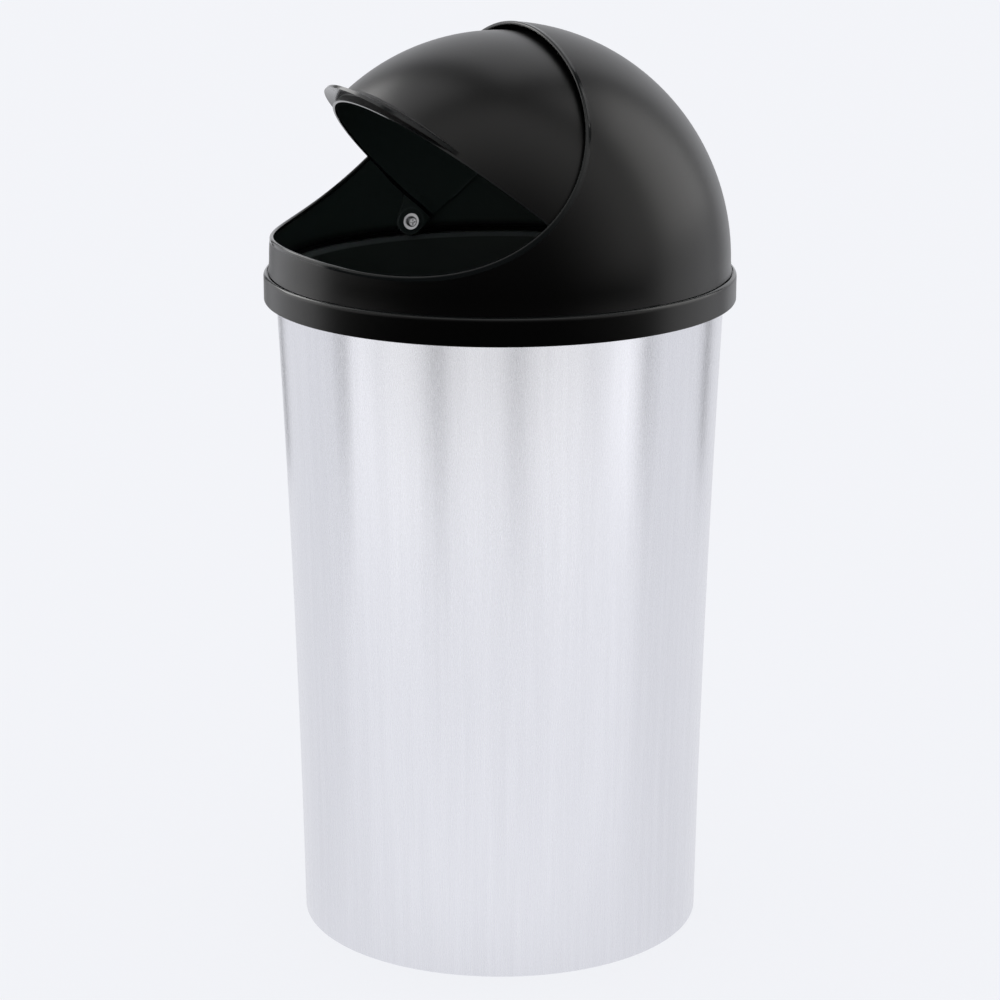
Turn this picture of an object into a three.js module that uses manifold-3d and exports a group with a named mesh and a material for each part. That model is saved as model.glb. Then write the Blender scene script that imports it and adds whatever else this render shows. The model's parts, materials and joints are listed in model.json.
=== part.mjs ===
// Dome top waste receptacle with a roll-back flap, in millimetres, +Z up.
// The origin is at the centre of the floor; the mouth of the hood faces -Y.
// The flap swings about a line along X and is drawn half open.

import * as THREE from 'three';
import { mergeVertices } from 'three/addons/utils/BufferGeometryUtils.js';
import Module from 'manifold-3d';

const wasm = await Module();
wasm.setup();

// ---------- driving dimensions ----------

// gaps that keep neighbouring pieces apart
const SEAT_GAP = 0.3;
const SLIP_GAP = 0.4;
const COVER_GAP = 1.0;
const FLAP_GAP = 1.4;

// steel sleeve: rolled sheet, drawn in a little at the waist, curled at the top
const SLEEVE_LIFT = 0.8;
const SLEEVE_TOP = 551.0;
const SLEEVE_BASE_RADIUS = 168.6;
const SLEEVE_TOP_RADIUS = 185.4;
const SLEEVE_WAIST = 2.4;
const SHEET = 0.8;
const CURL_RADIUS = 1.6;
const HEM_WIDTH = 9.0;

// inner tub: moulded, hangs by its rim on the curled edge of the sleeve
const TUB_WALL = 2.2;
const TUB_FLOOR_HEIGHT = 12.4;
const TUB_CORNER = 14;
const RIM_THICKNESS = 2.4;
const RIM_BEVEL_WIDTH = 2.4;
const RIM_BEVEL_DEPTH = 3.0;
const RIM_LIP = 2.6;
const RIM_LIP_DEPTH = 11.8;
const RIM_CORNER = 1.2;

// base plate and push-in feet
const PLATE_WEB = 2.4;
const PLATE_WEB_HEIGHT = 4.0;
const PLATE_RING = 2.8;
const PLATE_INNER_RING_RADIUS = 108;
const PLATE_RIBS = 8;
const FOOT_COUNT = 4;
const FOOT_INSET = 30.6;
const FOOT_RADIUS = 14;
const FOOT_EDGE = 0.8;
const FOOT_STEM_RADIUS = 4;
const FOOT_BARB = 1.6;
const FOOT_BARB_HEIGHT = 1.9;

// hood: fixed dome with a band that drops over the rim of the tub
const BAND_WALL = 2.8;
const BAND_HEIGHT = 22.7;
const BAND_STEP = 4.8;
const BAND_CORNER = 4;
const BAND_EDGE = 0.8;
const SEAT_THICKNESS = 4.4;
const HOOD_STRETCH = 3.2;
const HOOD_DRAFT = 0.1;
const HOOD_WALL = 2.8;

// mouth: the dome is cut by a round bar along X, placed from the pivot line
const MOUTH_RADIUS = 171.8;
const MOUTH_FORWARD = 154.2;
const MOUTH_RISE = 191.2;

// flap: a slice of a sphere about the pivot line, its edges placed from that line
const PIVOT_RISE = 9;
const FLAP_WALL = 2.2;
const FLAP_TILT = 41.8;
const FLAP_FRONT_OFFSET = 14.8;
const FLAP_BACK_ANGLE = 47.6;
const FLAP_BACK_REACH = 43;
const FLAP_BACK_RISE = 19.5;

// ears: flat lugs set in from the sphere, one on each side
const EAR_RADIUS = 12;
const EAR_INSET = 5;
const EAR_FLAT = 15;
const EAR_BLEND = 9;
const EAR_WALL = 2.4;
const EAR_NECK = 18.8;

// handle lip: a crescent across the front of the flap that slopes down outwards
const LIP_TILT = 48.5;
const LIP_RISE = 5;
const LIP_SLOPE = 27;
const LIP_WALL = 2.6;
const LIP_REACH = 17;
const LIP_HALF_SPAN = 116;
const LIP_ROOT = 1.0;

// pivot hardware, the same on both sides
const SHOULDER_RADIUS = 3;
const THREAD_RADIUS = 2;
const THREAD_LENGTH = 5.9;
const HEAD_RADIUS = 4.6;
const HEAD_HEIGHT = 3.1;
const HEAD_CROWN = 1.2;
const DRIVE_WIDTH = 1.3;
const DRIVE_LENGTH = 5.0;
const DRIVE_DEPTH = 1.5;
const SCREW_WASHER_RADIUS = 7.4;
const SCREW_WASHER_THICKNESS = 1.0;
const FRICTION_WASHER_RADIUS = 10;
const FRICTION_WASHER_THICKNESS = 0.8;
const BOSS_RADIUS = 7.5;

// facets, and how far a cutting body runs past the face that it cuts
const ROUND = 60;
const ROUND_FINE = 80;
const ROUND_SMALL = 16;
const ARC_STEP = 7.5;
const WALL_STEPS = 4;
const OVERCUT = 1;

// ---------- sizes that follow from the ones above ----------

const SLEEVE_HEIGHT = SLEEVE_TOP - SLEEVE_LIFT;
const CURL_CENTRE = SLEEVE_TOP_RADIUS + CURL_RADIUS - SHEET / 2;
const RIM_TOP = SLEEVE_TOP + CURL_RADIUS + SEAT_GAP + RIM_THICKNESS;
const RIM_LIP_INNER = CURL_CENTRE + CURL_RADIUS + SLIP_GAP;
const RIM_RADIUS = RIM_LIP_INNER + RIM_LIP;
const PLATE_TOP = TUB_FLOOR_HEIGHT - SEAT_GAP;
const FOOT_CIRCLE_RADIUS = SLEEVE_BASE_RADIUS - FOOT_INSET;
const SEAT_Z = RIM_TOP + SEAT_GAP;
const BAND_TOP = SEAT_Z + SEAT_THICKNESS;
const BAND_BOTTOM = BAND_TOP - BAND_HEIGHT;
const BAND_INNER = RIM_RADIUS + COVER_GAP;
const BAND_RADIUS = BAND_INNER + BAND_WALL;
const HOOD_RADIUS = BAND_RADIUS - BAND_STEP;
const HOOD_RISE = HOOD_RADIUS + HOOD_STRETCH;
const HOOD_INNER = HOOD_RADIUS - HOOD_WALL;
const PIVOT_Z = BAND_TOP + PIVOT_RISE;
const FLAP_RADIUS = HOOD_INNER - FLAP_GAP;
const EAR_FACE = FLAP_RADIUS - EAR_INSET;
const BOSS_FACE = EAR_FACE + 2 * SEAT_GAP + FRICTION_WASHER_THICKNESS;

const radians = THREE.MathUtils.degToRad;

// ---------- outlines ----------

function arc(centre, radius, from, to, steps) {
  const points = [];
  for (let i = 0; i <= steps; i++) {
    const angle = radians(from + (to - from) * i / steps);
    points.push([centre[0] + radius * Math.cos(angle), centre[1] + radius * Math.sin(angle)]);
  }
  return points;
}

function ellipseQuarter(width, height, z, steps) {
  return arc([0, 0], 1, 90, 0, steps).map(([x, y]) => [x * width, z + y * height]);
}

function sleeveRadius(z) {
  const t = (z - SLEEVE_LIFT) / SLEEVE_HEIGHT;
  const taper = SLEEVE_BASE_RADIUS + (SLEEVE_TOP_RADIUS - SLEEVE_BASE_RADIUS) * t;
  return taper - 4 * SLEEVE_WAIST * t * (1 - t);
}

function wallLine(from, to, inset, steps) {
  const points = [];
  for (let i = 0; i <= steps; i++) {
    const z = from + (to - from) * i / steps;
    points.push([sleeveRadius(z) - inset, z]);
  }
  return points;
}

// ---------- solids ----------

function signedVolume(vertices, triangles) {
  let sum = 0;
  for (let i = 0; i < triangles.length; i += 3) {
    const [a, b, c] = [0, 1, 2].map(
      (k) => new THREE.Vector3().fromArray(vertices, 3 * triangles[i + k]));
    sum += a.dot(b.cross(c));
  }
  return sum / 6;
}

function toSolid(geometry) {
  geometry.deleteAttribute('normal');
  geometry.deleteAttribute('uv');
  const merged = mergeVertices(geometry, 1e-4);
  const vertices = Float32Array.from(merged.attributes.position.array);
  const triangles = [];
  for (let i = 0; i < merged.index.count; i += 3) {
    const [a, b, c] = [0, 1, 2].map((k) => merged.index.getX(i + k));
    if (a !== b && b !== c && c !== a) triangles.push(a, b, c);
  }
  if (signedVolume(vertices, triangles) < 0) triangles.reverse();
  const triVerts = Uint32Array.from(triangles);
  return new wasm.Manifold(new wasm.Mesh({ numProp: 3, vertProperties: vertices, triVerts }));
}

function toGeometry(solid) {
  const mesh = solid.getMesh();
  const geometry = new THREE.BufferGeometry();
  geometry.setAttribute('position', new THREE.BufferAttribute(mesh.vertProperties, 3));
  geometry.setIndex(new THREE.BufferAttribute(mesh.triVerts, 1));
  geometry.computeVertexNormals();
  return geometry;
}

// a solid of revolution about Z from [radius, height] points
function turned(points, segments = ROUND) {
  const profile = points.map(([r, z]) => new THREE.Vector2(Math.max(r, 0), z));
  return toSolid(new THREE.LatheGeometry(profile, segments).rotateX(Math.PI / 2));
}

// the same about X from [radius, x] points
function turnedAboutX(points, segments = ROUND) {
  const profile = points.map(([r, x]) => new THREE.Vector2(Math.max(r, 0), x));
  return toSolid(new THREE.LatheGeometry(profile, segments).rotateZ(-Math.PI / 2));
}

// a closed [radius, height] loop that stays off the axis
function ring(points, segments = ROUND) {
  return turned([...points, points[0]], segments);
}

function barAlongX(radius, from, to, y, z, segments = ROUND_SMALL) {
  const geometry = new THREE.CylinderGeometry(radius, radius, Math.abs(to - from), segments);
  geometry.rotateZ(Math.PI / 2);
  return toSolid(geometry.translate((from + to) / 2, y, z));
}

function box(size, centre) {
  return toSolid(new THREE.BoxGeometry(...size).translate(...centre));
}

// extrude an outline drawn in the plane of the first two axes along the third
function slab(shape, depth, origin, axes, curveSegments = 32) {
  const geometry = new THREE.ExtrudeGeometry(shape, { depth, bevelEnabled: false, curveSegments });
  const frame = new THREE.Matrix4().makeBasis(...axes);
  geometry.applyMatrix4(frame.setPosition(origin));
  return toSolid(geometry);
}

// ---------- pieces ----------

function outerSleeve() {
  const curlCentre = [CURL_CENTRE, SLEEVE_TOP];
  const curl = arc(curlCentre, CURL_RADIUS, 180, -90, 6);
  const curlInside = arc(curlCentre, CURL_RADIUS - SHEET, -90, 180, 4);
  const outline = [
    ...wallLine(SLEEVE_LIFT + SHEET, SLEEVE_TOP - CURL_RADIUS, SHEET, WALL_STEPS),
    ...curl,
    ...curlInside,
    ...wallLine(SLEEVE_TOP - CURL_RADIUS, SLEEVE_LIFT, 0, WALL_STEPS),
    [SLEEVE_BASE_RADIUS - HEM_WIDTH, SLEEVE_LIFT],
    [SLEEVE_BASE_RADIUS - HEM_WIDTH, SLEEVE_LIFT + SHEET],
  ];
  return ring(outline);
}

function innerTub() {
  const outer = SHEET + SLIP_GAP;
  const inner = outer + TUB_WALL;
  const rimUnder = RIM_TOP - RIM_THICKNESS;
  const floorTop = TUB_FLOOR_HEIGHT + TUB_WALL;
  const cornerZ = TUB_FLOOR_HEIGHT + TUB_CORNER;
  const outerCorner = [sleeveRadius(cornerZ) - outer - TUB_CORNER, cornerZ];
  const innerCorner = [outerCorner[0], cornerZ];
  const wallTop = RIM_TOP - RIM_BEVEL_DEPTH;
  const innerTop = sleeveRadius(wallTop) - inner;
  const outline = [
    [0, TUB_FLOOR_HEIGHT],
    ...arc(outerCorner, TUB_CORNER, 270, 360, 3),
    ...wallLine(cornerZ + TUB_CORNER, rimUnder, outer, WALL_STEPS),
    [RIM_LIP_INNER, rimUnder],
    [RIM_LIP_INNER, RIM_TOP - RIM_LIP_DEPTH],
    [RIM_RADIUS, RIM_TOP - RIM_LIP_DEPTH],
    ...arc([RIM_RADIUS - RIM_CORNER, RIM_TOP - RIM_CORNER], RIM_CORNER, 0, 90, 2),
    [innerTop + RIM_BEVEL_WIDTH, RIM_TOP],
    ...wallLine(wallTop, cornerZ + TUB_CORNER, inner, WALL_STEPS),
    ...arc(innerCorner, TUB_CORNER - TUB_WALL, 360, 270, 3),
    [0, floorTop],
  ];
  return turned(outline);
}

function footPlaces() {
  const places = [];
  for (let i = 0; i < FOOT_COUNT; i++) {
    const angle = 2 * Math.PI * (i + 0.5) / FOOT_COUNT;
    places.push([FOOT_CIRCLE_RADIUS * Math.cos(angle), FOOT_CIRCLE_RADIUS * Math.sin(angle)]);
  }
  return places;
}

function basePlate() {
  const hemTop = SLEEVE_LIFT + SHEET + SEAT_GAP;
  const webTop = PLATE_WEB_HEIGHT + PLATE_WEB;
  const radius = sleeveRadius(hemTop) - SHEET - SLIP_GAP;
  const step = radius - HEM_WIDTH + 2 * SEAT_GAP;
  const innerRing = PLATE_INNER_RING_RADIUS;
  let plate = turned([
    [0, PLATE_WEB_HEIGHT],
    [step, PLATE_WEB_HEIGHT],
    [step, hemTop],
    [radius, hemTop],
    [radius, PLATE_TOP],
    [radius - PLATE_RING, PLATE_TOP],
    [radius - PLATE_RING, webTop],
    [innerRing + PLATE_RING, webTop],
    [innerRing + PLATE_RING, PLATE_TOP],
    [innerRing, PLATE_TOP],
    [innerRing, webTop],
    [0, webTop],
  ]);
  const ribLength = radius - innerRing - PLATE_RING;
  for (let i = 0; i < PLATE_RIBS; i++) {
    const rib = box(
      [ribLength, PLATE_WEB, PLATE_TOP - webTop + PLATE_WEB / 2],
      [innerRing + PLATE_RING / 2 + ribLength / 2, 0, (PLATE_TOP + webTop - PLATE_WEB / 2) / 2]);
    plate = plate.add(rib.rotate([0, 0, 360 * (i + 0.5) / PLATE_RIBS]));
  }
  for (const [x, y] of footPlaces()) {
    const radius = FOOT_STEM_RADIUS + SEAT_GAP;
    const depth = PLATE_WEB + 2 * OVERCUT;
    const hole = new THREE.CylinderGeometry(radius, radius, depth, ROUND_SMALL);
    hole.rotateX(Math.PI / 2).translate(x, y, PLATE_WEB_HEIGHT + PLATE_WEB / 2);
    plate = plate.subtract(toSolid(hole));
  }
  return plate;
}

function footPad() {
  const top = PLATE_WEB_HEIGHT - SEAT_GAP;
  const barb = PLATE_WEB_HEIGHT + PLATE_WEB + SEAT_GAP;
  return turned([
    [0, 0],
    [FOOT_RADIUS - FOOT_EDGE, 0],
    [FOOT_RADIUS, FOOT_EDGE],
    [FOOT_RADIUS, top],
    [FOOT_STEM_RADIUS, top],
    [FOOT_STEM_RADIUS, barb],
    [FOOT_STEM_RADIUS + FOOT_BARB, barb],
    [FOOT_STEM_RADIUS, barb + FOOT_BARB_HEIGHT],
    [0, barb + FOOT_BARB_HEIGHT],
  ], ROUND_SMALL);
}

function hoodShell() {
  const foot = HOOD_RADIUS + HOOD_DRAFT * (PIVOT_Z - BAND_TOP);
  const innerFoot = HOOD_INNER + HOOD_DRAFT * (PIVOT_Z - SEAT_Z);
  return turned([
    ...ellipseQuarter(HOOD_RADIUS, HOOD_RISE, PIVOT_Z, 90 / ARC_STEP),
    [foot, BAND_TOP],
    ...arc([BAND_RADIUS - BAND_CORNER, BAND_TOP - BAND_CORNER], BAND_CORNER, 80, 0, 3),
    [BAND_RADIUS, BAND_BOTTOM + BAND_EDGE],
    [BAND_RADIUS - BAND_EDGE, BAND_BOTTOM],
    [BAND_INNER, BAND_BOTTOM],
    [BAND_INNER, SEAT_Z],
    [innerFoot, SEAT_Z],
    ...ellipseQuarter(HOOD_INNER, HOOD_RISE - HOOD_WALL, PIVOT_Z, 90 / ARC_STEP).reverse(),
  ]);
}

function hood() {
  let shell = hoodShell();
  const reach = 2 * BAND_RADIUS;
  for (const side of [-1, 1]) {
    const bossRoot = HOOD_INNER + HOOD_WALL / 2;
    const boss = barAlongX(BOSS_RADIUS, side * BOSS_FACE, side * bossRoot, 0, PIVOT_Z);
    const holeStart = BOSS_FACE - OVERCUT;
    const holeEnd = BOSS_FACE + THREAD_LENGTH;
    const hole = barAlongX(
      THREAD_RADIUS + SEAT_GAP, side * holeStart, side * holeEnd, 0, PIVOT_Z);
    shell = shell.add(boss).subtract(hole);
  }
  const mouth = barAlongX(
    MOUTH_RADIUS, -reach, reach, -MOUTH_FORWARD, PIVOT_Z + MOUTH_RISE, ROUND_FINE);
  return shell.subtract(mouth);
}

// the point of a circle about the pivot where a line from a [y, z] point touches it
function touchAngle(point, radius, side) {
  const toPoint = Math.atan2(point[1], point[0]);
  return toPoint + side * Math.acos(radius / Math.hypot(...point));
}

// side outline of the flap about the pivot, in [y, z]: front edge, ear, back edge
function flapOutline() {
  const tilt = radians(FLAP_TILT);
  const far = 1.5 * FLAP_RADIUS;
  const foot = [FLAP_FRONT_OFFSET * Math.sin(tilt), FLAP_FRONT_OFFSET * Math.cos(tilt)];
  const along = (distance) =>
    [foot[0] - distance * Math.cos(tilt), foot[1] + distance * Math.sin(tilt)];
  const neck = along(EAR_NECK);
  const back = radians(FLAP_BACK_ANGLE);
  const frontTouch = THREE.MathUtils.radToDeg(touchAngle(neck, EAR_RADIUS, 1));
  const backCorner = [FLAP_BACK_REACH, FLAP_BACK_RISE];
  const backTouch = THREE.MathUtils.radToDeg(touchAngle(backCorner, EAR_RADIUS, -1)) + 360;
  const backEnd = [
    backCorner[0] + far * Math.cos(back),
    backCorner[1] + far * Math.sin(back),
  ];
  const frontEnd = along(far);
  return [
    frontEnd,
    neck,
    ...arc([0, 0], EAR_RADIUS, frontTouch, backTouch, 8),
    backCorner,
    backEnd,
    [frontEnd[0] + backEnd[0], frontEnd[1] + backEnd[1]],
  ];
}

function sphereWithFlats(radius, flatRadius, flatFace) {
  const blendRadius = flatRadius + EAR_BLEND;
  const start = THREE.MathUtils.radToDeg(Math.asin(blendRadius / radius));
  const steps = Math.round((180 - 2 * start) / ARC_STEP);
  return turnedAboutX([
    [0, flatFace],
    [flatRadius, flatFace],
    ...arc([0, 0], radius, 90 - start, start - 90, steps),
    [flatRadius, -flatFace],
    [0, -flatFace],
  ]);
}

// a sloping ring on its own tilted axis, cut to a crescent by a round bar set ahead of it
function handleLip() {
  const section = Math.sqrt(FLAP_RADIUS ** 2 - LIP_RISE ** 2);
  const end = Math.sqrt(section ** 2 - LIP_HALF_SPAN ** 2);
  const depth = section + LIP_REACH - end;
  const sweep = (LIP_HALF_SPAN ** 2 + depth ** 2) / (2 * depth);
  const ahead = section + LIP_REACH - sweep;
  const slope = radians(LIP_SLOPE);
  const wall = LIP_WALL / Math.cos(slope);
  const top = (radius) => LIP_RISE - (radius - section) * Math.tan(slope);
  const root = section - LIP_ROOT;
  const edge = section + LIP_REACH + OVERCUT;
  const flare = ring([
    [root, top(root) - wall],
    [edge, top(edge) - wall],
    [edge, top(edge)],
    [root, top(root)],
  ]);
  const tall = 4 * LIP_REACH;
  const sweepBar = new THREE.CylinderGeometry(sweep, sweep, tall, ROUND_FINE);
  sweepBar.rotateX(Math.PI / 2).translate(0, ahead, 0);
  return flare.intersect(toSolid(sweepBar)).rotate([0, 0, 180]).rotate([-LIP_TILT, 0, 0]);
}

function flap() {
  const outer = sphereWithFlats(FLAP_RADIUS, EAR_FLAT, EAR_FACE);
  const inner = sphereWithFlats(FLAP_RADIUS - FLAP_WALL, EAR_FLAT, EAR_FACE - EAR_WALL);
  const shape = new THREE.Shape(flapOutline().map(([y, z]) => new THREE.Vector2(y, z)));
  const axes = [
    new THREE.Vector3(0, 1, 0),
    new THREE.Vector3(0, 0, 1),
    new THREE.Vector3(1, 0, 0),
  ];
  const width = 2 * (FLAP_RADIUS + OVERCUT);
  const slice = slab(shape, width, new THREE.Vector3(-width / 2, 0, 0), axes);
  const bore = barAlongX(SHOULDER_RADIUS + SEAT_GAP, -width, width, 0, 0);
  const shell = outer.subtract(inner).intersect(slice).subtract(bore);
  return shell.add(handleLip()).translate([0, 0, PIVOT_Z]);
}

// the stack at a pivot, from the middle of the bin outwards along +X
function pivotStack() {
  const earInside = EAR_FACE - EAR_WALL;
  const washerOut = earInside - SEAT_GAP;
  const washerIn = washerOut - SCREW_WASHER_THICKNESS;
  const headOut = washerIn - SEAT_GAP;
  const frictionIn = EAR_FACE + SEAT_GAP;
  return { washerIn, washerOut, headOut, frictionIn };
}

function pivotScrew() {
  const { headOut } = pivotStack();
  const headIn = headOut - HEAD_HEIGHT;
  const shoulderEnd = BOSS_FACE - SEAT_GAP;
  const screw = turnedAboutX([
    [0, headIn],
    ...arc([HEAD_RADIUS - HEAD_CROWN, headIn + HEAD_CROWN], HEAD_CROWN, -90, 0, 2),
    [HEAD_RADIUS, headOut],
    [SHOULDER_RADIUS, headOut],
    [SHOULDER_RADIUS, shoulderEnd],
    [THREAD_RADIUS, shoulderEnd],
    [THREAD_RADIUS, shoulderEnd + THREAD_LENGTH],
    [0, shoulderEnd + THREAD_LENGTH],
  ], ROUND_SMALL);
  const slotDepth = DRIVE_DEPTH + OVERCUT;
  const slotX = headIn + DRIVE_DEPTH - slotDepth / 2;
  const upright = box([slotDepth, DRIVE_WIDTH, DRIVE_LENGTH], [slotX, 0, 0]);
  const across = box([slotDepth, DRIVE_LENGTH, DRIVE_WIDTH], [slotX, 0, 0]);
  return screw.subtract(upright.add(across)).translate([0, 0, PIVOT_Z]);
}

function flatWasher(radius, from, to) {
  const hole = SHOULDER_RADIUS + SEAT_GAP;
  const outline = [[hole, from], [radius, from], [radius, to], [hole, to], [hole, from]];
  return turnedAboutX(outline, ROUND_SMALL).translate([0, 0, PIVOT_Z]);
}

function screwWasher() {
  const { washerIn, washerOut } = pivotStack();
  return flatWasher(SCREW_WASHER_RADIUS, washerIn, washerOut);
}

function frictionWasher() {
  const { frictionIn } = pivotStack();
  return flatWasher(
    FRICTION_WASHER_RADIUS, frictionIn, frictionIn + FRICTION_WASHER_THICKNESS);
}

// ---------- finishes ----------

const steelSheet = { color: 0xd2d3d8, roughness: 0.34, metalness: 1.0 };
const glossBlack = { color: 0x0d0d0d, roughness: 0.28, metalness: 0.0 };
const satinBlack = { color: 0x0b0c0b, roughness: 0.5, metalness: 0.0 };
const rubberBlack = { color: 0x121212, roughness: 0.85, metalness: 0.0 };
const plated = { color: 0xd8d9de, roughness: 0.25, metalness: 1.0 };
const nylon = { color: 0xe4e2da, roughness: 0.55, metalness: 0.0 };

// ---------- assembly ----------

const receptacle = new THREE.Group();

function place(name, solid, finish, parent = receptacle) {
  const mesh = new THREE.Mesh(toGeometry(solid), new THREE.MeshStandardMaterial(finish));
  mesh.name = name;
  parent.add(mesh);
  return mesh;
}

place('outer_sleeve', outerSleeve(), steelSheet);
place('inner_tub', innerTub(), satinBlack);
place('base_plate', basePlate(), satinBlack);
footPlaces().forEach(([x, y], i) => {
  place(`foot_pad_${i + 1}`, footPad(), rubberBlack).position.set(x, y, 0);
});
place('hood', hood(), glossBlack);
place('flap', flap(), glossBlack);

for (const [side, turn] of [['right', 0], ['left', Math.PI]]) {
  const pivot = new THREE.Group();
  pivot.rotation.z = turn;
  receptacle.add(pivot);
  place(`pivot_screw_${side}`, pivotScrew(), plated, pivot);
  place(`screw_washer_${side}`, screwWasher(), plated, pivot);
  place(`friction_washer_${side}`, frictionWasher(), nylon, pivot);
}

export default receptacle;
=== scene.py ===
"""Looks of a dome top waste receptacle: steel sleeve, black tub, hood and roll-back flap."""
import json
import math

import bpy
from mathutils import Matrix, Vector

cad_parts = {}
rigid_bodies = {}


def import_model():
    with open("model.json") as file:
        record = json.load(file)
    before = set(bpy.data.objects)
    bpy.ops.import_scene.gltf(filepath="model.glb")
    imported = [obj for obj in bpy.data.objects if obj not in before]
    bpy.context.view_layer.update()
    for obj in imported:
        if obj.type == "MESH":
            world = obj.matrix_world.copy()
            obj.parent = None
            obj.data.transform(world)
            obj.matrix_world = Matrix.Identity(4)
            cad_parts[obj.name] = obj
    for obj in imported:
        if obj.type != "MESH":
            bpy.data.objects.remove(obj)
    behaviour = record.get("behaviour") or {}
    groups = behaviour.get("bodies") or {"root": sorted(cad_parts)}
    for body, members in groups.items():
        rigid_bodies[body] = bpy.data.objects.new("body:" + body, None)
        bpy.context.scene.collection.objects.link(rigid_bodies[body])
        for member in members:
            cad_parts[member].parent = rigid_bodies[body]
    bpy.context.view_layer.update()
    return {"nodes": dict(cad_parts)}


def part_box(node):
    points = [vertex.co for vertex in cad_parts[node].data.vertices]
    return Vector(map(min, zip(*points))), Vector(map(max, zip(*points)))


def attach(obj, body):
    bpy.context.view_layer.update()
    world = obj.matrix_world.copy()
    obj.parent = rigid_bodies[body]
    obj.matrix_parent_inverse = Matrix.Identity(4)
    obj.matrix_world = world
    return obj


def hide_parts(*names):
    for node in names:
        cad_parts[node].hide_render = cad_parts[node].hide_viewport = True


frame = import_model()

MM = 0.001

# sizes shared with the solids, in millimetres
SHEET = 0.8
SLEEVE_LIFT = 0.8
SLEEVE_TOP = 551.0
SLEEVE_BASE_RADIUS = 168.6
SLEEVE_TOP_RADIUS = 185.4
SLEEVE_WAIST = 2.4
CURL_RADIUS = 1.6
CURL_CENTRE = 186.6
HEM_WIDTH = 9.0
HEM_BEND = 1.4
HEM_CORNER = 1.0

TUB_WALL = 2.2
TUB_SLIP = 0.4
TUB_FLOOR = 12.4
TUB_CORNER = 14.0
RIM_TOP = 555.3
RIM_THICKNESS = 2.4
RIM_LIP_INNER = 188.6
RIM_RADIUS = 191.2
RIM_LIP_DEPTH = 11.8
RIM_BEVEL_WIDTH = 2.4
RIM_BEVEL_DEPTH = 3.0
RIM_CORNER = 1.2

SEAT_Z = 555.6
BAND_TOP = 560.0
BAND_BOTTOM = 537.3
BAND_INNER = 192.2
BAND_RADIUS = 195.0
BAND_CORNER = 3.4
BAND_EDGE = 0.8
GROOVE_DEPTH = 1.6
GROOVE_WIDTH = 1.1
PIVOT_Z = 569.0
HOOD_RADIUS = 190.2
HOOD_RISE = 193.4
HOOD_WALL = 2.8
HOOD_DRAFT = 0.1
MOUTH_RADIUS = 171.8
MOUTH_Y = -154.2
MOUTH_Z = 760.2
MOUTH_BEAD = 1.85
BEAD_PROUD = 0.2
BOSS_RADIUS = 7.5
BOSS_FACE = 182.4
SCREW_HOLE_RADIUS = 2.3
SCREW_HOLE_LENGTH = 6.9
SCREW_HOLE_MIDDLE = 2.45

FLAP_RADIUS = 186.0
FLAP_WALL = 2.2
FLAP_TILT = 41.8
FLAP_FRONT_OFFSET = 14.8
FLAP_BACK_ANGLE = 47.6
FLAP_BACK_REACH = 43.0
FLAP_BACK_RISE = 19.5
EAR_RADIUS = 12.0
EAR_FACE = 181.0
EAR_FLAT = 15.0
EAR_BLEND = 9.0
EAR_WALL = 2.4
EAR_NECK = 18.8
FLAP_BEAD = 1.45
FLAP_BEAD_SPAN = (38.0, 56.0)
LIP_TILT = 48.5
LIP_RISE = 5.0
LIP_SLOPE = 27.0
LIP_WALL = 2.6
LIP_REACH = 17.0
LIP_HALF_SPAN = 116.0
LIP_ROOT = 1.0
LIP_ROUND = 0.9

SHOULDER_RADIUS = 3.0
SEAT_GAP = 0.3
SCREW_WASHER_RADIUS = 7.4
SCREW_WASHER = (177.3, 178.3)
FRICTION_WASHER_RADIUS = 10.0
FRICTION_WASHER = (181.3, 182.1)
HEAD_RADIUS = 4.6
HEAD = (173.9, 177.0)
HEAD_CROWN = 2.0
RECESS_DEPTH = 2.2
RECESS_WIDTH = 1.3
RECESS_LENGTH = 5.0
THREAD_RADIUS = 2.0
THREAD_ROOT = 1.65
THREAD_PITCH = 0.9
THREAD_TURNS = 6
THREAD_LENGTH = 5.6

FOOT_RADIUS = 14.0
FOOT_ROUND = 1.0
FOOT_TOP = 3.7
FOOT_STEM_RADIUS = 4.0
FOOT_BARB_RADIUS = 5.6
FOOT_BARB_Z = 6.7
FOOT_STEM_TOP = 8.6

# camera, read from the photograph
CAMERA_AZIMUTH = 64.1
CAMERA_DISTANCE = 2.6158
CAMERA_HEIGHT = 1.0933
CAMERA_PITCH = 15.637
CAMERA_LENS = 116.07

# panels that only the steel reflects, as angles from the camera's direction
STEEL_PANELS = (
    (-80, -57, 0.44), (-57, -33.5, 0.84), (-27.5, 6, 0.82), (10.5, 42, 0.84), (42, 73.5, 0.44))
STEEL_PANEL_DISTANCE = 1.35
# a dark screen round the object, and the azimuths of its upright bars
SCRIM_RADIUS = 1.5
DARK_BARS = (-149, -83, 76.2, 129.5)

# colours
BLACK = (0.0012, 0.0012, 0.0012)
# painted fill light: the inside of the hood and flap is painted lighter and greenish, standing in
# for light reaching the interior
PAINTED_FILL_GREEN = (0.032, 0.045, 0.041)
# beads, lip and band shoulder: glossier, and a little lighter than the black, which paints in a
# faint highlight
EDGE_BLACK = (0.004, 0.005, 0.005)
# painted highlight: a lighter grey on thin edges, standing in for the light lines that their
# rounding would catch
PAINTED_HIGHLIGHT_GREY = (0.085, 0.10, 0.097)
TUB_BLACK = (0.038, 0.049, 0.045)
PALE = (0.896, 0.905, 0.939, 1)
# how deep under the outside the inner colour begins; that lighter inner colour is a painted fill
# light on the inside of the hood and flap
HOOD_INSIDE_DEPTH = 2.3
FLAP_INSIDE_DEPTH = 1.7

# how finely turned pieces are divided
FINE = 192
MEDIUM = 96
SMALL = 48


# ---------- modelling by hand ----------

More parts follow.
